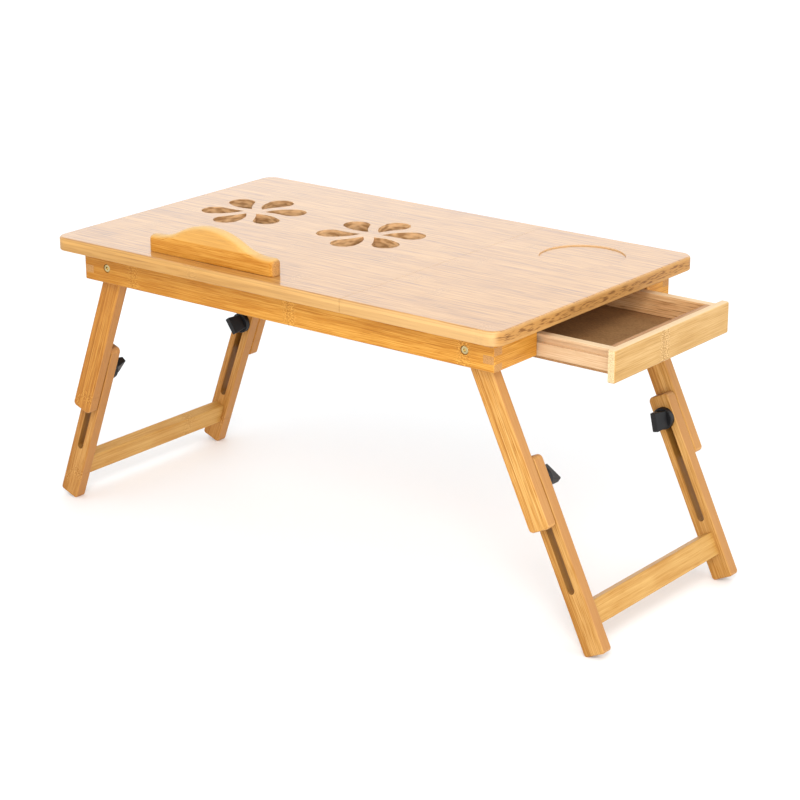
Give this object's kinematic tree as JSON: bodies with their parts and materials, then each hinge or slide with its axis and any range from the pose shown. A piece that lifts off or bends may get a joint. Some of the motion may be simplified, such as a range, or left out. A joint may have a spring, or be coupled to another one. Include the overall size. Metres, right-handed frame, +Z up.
{
  "type": "laptop stand with drawer",
  "caption": "Folding bamboo laptop table with a tilting vented panel, book stop, cup recess, side drawer and splayed telescopic legs.",
  "frame": {"origin": "on the floor, under the centre of the outermost foot edges and midway between the front and back edges of the top", "axes": "+X towards the drawer end, +Y to the back, +Z up"},
  "size_m": [0.6326, 0.3, 0.3091],
  "materials": {
    "bamboo_top": "clear gloss lacquer over pale bamboo strips",
    "bamboo_frame": "clear satin lacquer over honey bamboo",
    "bamboo_drawer": "clear satin lacquer over bamboo",
    "drawer_base": "matt thin board",
    "dowel_wood": "bare turned wood",
    "zinc_steel": "bright zinc plating",
    "wire_steel": "drawn wire",
    "hinge_brass": "brass plated",
    "insert_brass": "plain brass",
    "knob_plastic": "moulded black"
  },
  "bodies": {
    "frame": {"front_apron": "bamboo_frame", "back_apron": "bamboo_frame", "left_end_board": "bamboo_frame", "right_front_return": "bamboo_frame", "right_back_return": "bamboo_frame", "fixed_panel": "bamboo_top", "seam_strip": "bamboo_frame", "drawer_rail_front": "zinc_steel", "drawer_rail_back": "zinc_steel", "drawer_rail_screws": "zinc_steel", "drawer_stop": "bamboo_frame", "hinge_fixed_leaves": "hinge_brass", "hinge_fixed_screws": "zinc_steel", "rack_bar_front": "bamboo_frame", "rack_bar_back": "bamboo_frame", "tilt_rack_left": "bamboo_frame", "tilt_rack_right": "bamboo_frame", "pivot_bolts": "zinc_steel", "pivot_nuts": "zinc_steel", "pivot_washers": "zinc_steel"},
    "tilt_panel": {"tilt_panel": "bamboo_top", "hinge_moving_leaves": "hinge_brass", "hinge_moving_screws": "zinc_steel", "hinge_pins": "hinge_brass", "prop_clips": "zinc_steel", "prop_clip_screws": "zinc_steel"},
    "book_stop": {"stopper": "bamboo_frame", "stopper_dowels": "dowel_wood"},
    "prop": {"prop_loop": "wire_steel"},
    "drawer": {"drawer_face": "bamboo_drawer", "drawer_box_front": "bamboo_drawer", "drawer_side_front": "bamboo_drawer", "drawer_side_back": "bamboo_drawer", "drawer_rear": "bamboo_drawer", "drawer_bottom": "drawer_base", "drawer_bottom_nails": "zinc_steel", "drawer_face_screws": "zinc_steel"},
    "left_upper_legs": {"left_front_upper_leg": "bamboo_frame", "left_back_upper_leg": "bamboo_frame", "left_clamp_inserts": "insert_brass"},
    "left_lower_legs": {"left_front_lower_leg": "bamboo_frame", "left_back_lower_leg": "bamboo_frame", "left_stretcher": "bamboo_frame", "left_stretcher_dowels": "dowel_wood"},
    "right_upper_legs": {"right_front_upper_leg": "bamboo_frame", "right_back_upper_leg": "bamboo_frame", "right_clamp_inserts": "insert_brass"},
    "right_lower_legs": {"right_front_lower_leg": "bamboo_frame", "right_back_lower_leg": "bamboo_frame", "right_stretcher": "bamboo_frame", "right_stretcher_dowels": "dowel_wood"},
    "left_front_knob": {"left_front_knob": "knob_plastic", "left_front_knob_stud": "zinc_steel"},
    "left_back_knob": {"left_back_knob": "knob_plastic", "left_back_knob_stud": "zinc_steel"},
    "right_front_knob": {"right_front_knob": "knob_plastic", "right_front_knob_stud": "zinc_steel"},
    "right_back_knob": {"right_back_knob": "knob_plastic", "right_back_knob_stud": "zinc_steel"}
  },
  "joints": [
    {"name": "panel_tilt", "type": "hinge", "parent": "frame", "child": "tilt_panel", "pos_m": [-0.09385, -0.1347, 0.26526], "axis": [1, 0, 0], "range_deg": [0, 35]},
    {"name": "prop_fold", "type": "hinge", "parent": "tilt_panel", "child": "prop", "pos_m": [-0.09885, -0.0347, 0.26291], "axis": [1, 0, 0], "range_deg": [-70, 0]},
    {"name": "book_stop_lift", "type": "slide", "parent": "tilt_panel", "child": "book_stop", "axis": [0, 0, 1], "range_m": [0, 0.012]},
    {"name": "drawer_slide", "type": "slide", "parent": "frame", "child": "drawer", "axis": [1, 0, 0], "range_m": [-0.0732, 0.0255]},
    {"name": "left_fold", "type": "hinge", "parent": "frame", "child": "left_upper_legs", "pos_m": [-0.21535, 0, 0.25086], "axis": [0, -1, 0], "range_deg": [0, 110.3]},
    {"name": "right_fold", "type": "hinge", "parent": "frame", "child": "right_upper_legs", "pos_m": [0.19075, 0, 0.25086], "axis": [0, 1, 0], "range_deg": [0, 115.29]},
    {"name": "left_height", "type": "slide", "parent": "left_upper_legs", "child": "left_lower_legs", "axis": [0.3469, 0, 0.9379], "range_m": [-0.0127, 0.0856]},
    {"name": "right_height", "type": "slide", "parent": "right_upper_legs", "child": "right_lower_legs", "axis": [-0.4272, 0, 0.9041], "range_m": [-0.0037, 0.0946]},
    {"name": "left_front_knob_turn", "type": "hinge", "parent": "left_upper_legs", "child": "left_front_knob", "pos_m": [-0.25751, -0.0875, 0.13691], "axis": [0, 1, 0], "continuous": true},
    {"name": "left_back_knob_turn", "type": "hinge", "parent": "left_upper_legs", "child": "left_back_knob", "pos_m": [-0.25751, 0.0875, 0.13691], "axis": [0, 1, 0], "continuous": true},
    {"name": "right_front_knob_turn", "type": "hinge", "parent": "right_upper_legs", "child": "right_front_knob", "pos_m": [0.24266, -0.0875, 0.14101], "axis": [0, 1, 0], "continuous": true},
    {"name": "right_back_knob_turn", "type": "hinge", "parent": "right_upper_legs", "child": "right_back_knob", "pos_m": [0.24266, 0.0875, 0.14101], "axis": [0, 1, 0], "continuous": true}
  ],
  "couplings": [
    {"joint": "prop_fold", "follows": "panel_tilt", "ratio": -2}
  ]
}
